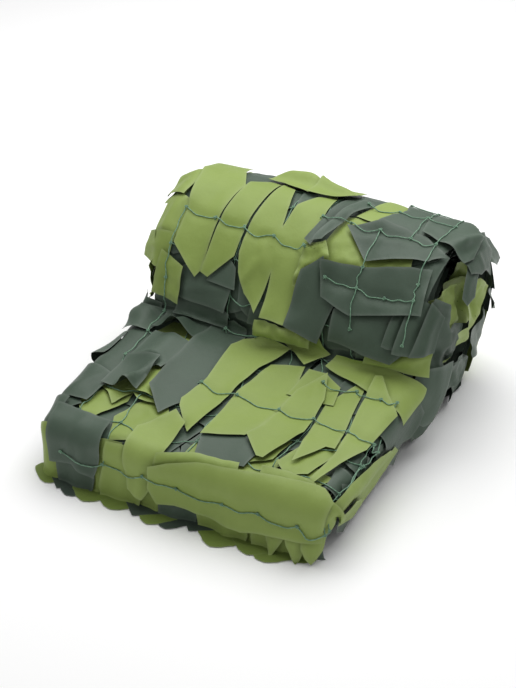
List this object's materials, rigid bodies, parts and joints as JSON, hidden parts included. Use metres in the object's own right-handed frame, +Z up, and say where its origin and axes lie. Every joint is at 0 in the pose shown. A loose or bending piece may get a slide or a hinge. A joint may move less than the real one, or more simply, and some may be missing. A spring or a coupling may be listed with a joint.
{
  "type": "camouflage net",
  "caption": "Camouflage net of knotted twine with leaf-cut cloth in two greens, folded into a band and rolled up, with its loose end lying in front of the roll.",
  "frame": {"origin": "on the surface that the net lies on, under the middle of the roll", "axes": "+X along the roll, +Y back, away from the loose end, +Z up"},
  "size_m": [0.6347, 0.8118, 0.3943],
  "materials": {
    "light": "coated, faint sheen",
    "dark": "coated, faint sheen",
    "core": "matt, leaves in shade",
    "twine": "smooth synthetic twine"
  },
  "bodies": {
    "root": {"roll": "core", "lap": "core", "netting": "twine", "leaf_01": "dark", "leaf_02": "light", "leaf_03": "dark", "leaf_04": "light", "leaf_05": "dark", "leaf_06": "dark", "leaf_07": "dark", "leaf_08": "dark", "leaf_09": "dark", "leaf_10": "dark", "leaf_11": "dark", "leaf_12": "dark", "leaf_13": "dark", "leaf_14": "dark", "leaf_15": "dark", "leaf_16": "light", "leaf_17": "light", "leaf_18": "light", "leaf_19": "light", "leaf_20": "light", "leaf_21": "light", "leaf_22": "light", "leaf_23": "light", "leaf_24": "dark", "leaf_25": "light", "leaf_26": "light", "leaf_27": "dark", "leaf_28": "dark", "leaf_29": "light", "leaf_30": "light", "leaf_31": "light", "leaf_32": "light", "leaf_33": "light", "leaf_34": "light", "leaf_35": "light", "leaf_36": "light", "leaf_37": "light", "leaf_38": "light", "leaf_39": "light", "leaf_40": "light", "leaf_41": "dark", "leaf_42": "dark", "leaf_43": "dark", "leaf_44": "dark", "leaf_45": "dark", "leaf_46": "light", "leaf_47": "light", "leaf_48": "dark", "leaf_49": "dark", "leaf_50": "light", "leaf_51": "dark", "leaf_52": "dark", "leaf_53": "dark", "leaf_54": "light", "tuck_01": "light", "tuck_02": "dark", "tuck_03": "light"}
  },
  "joints": []
}
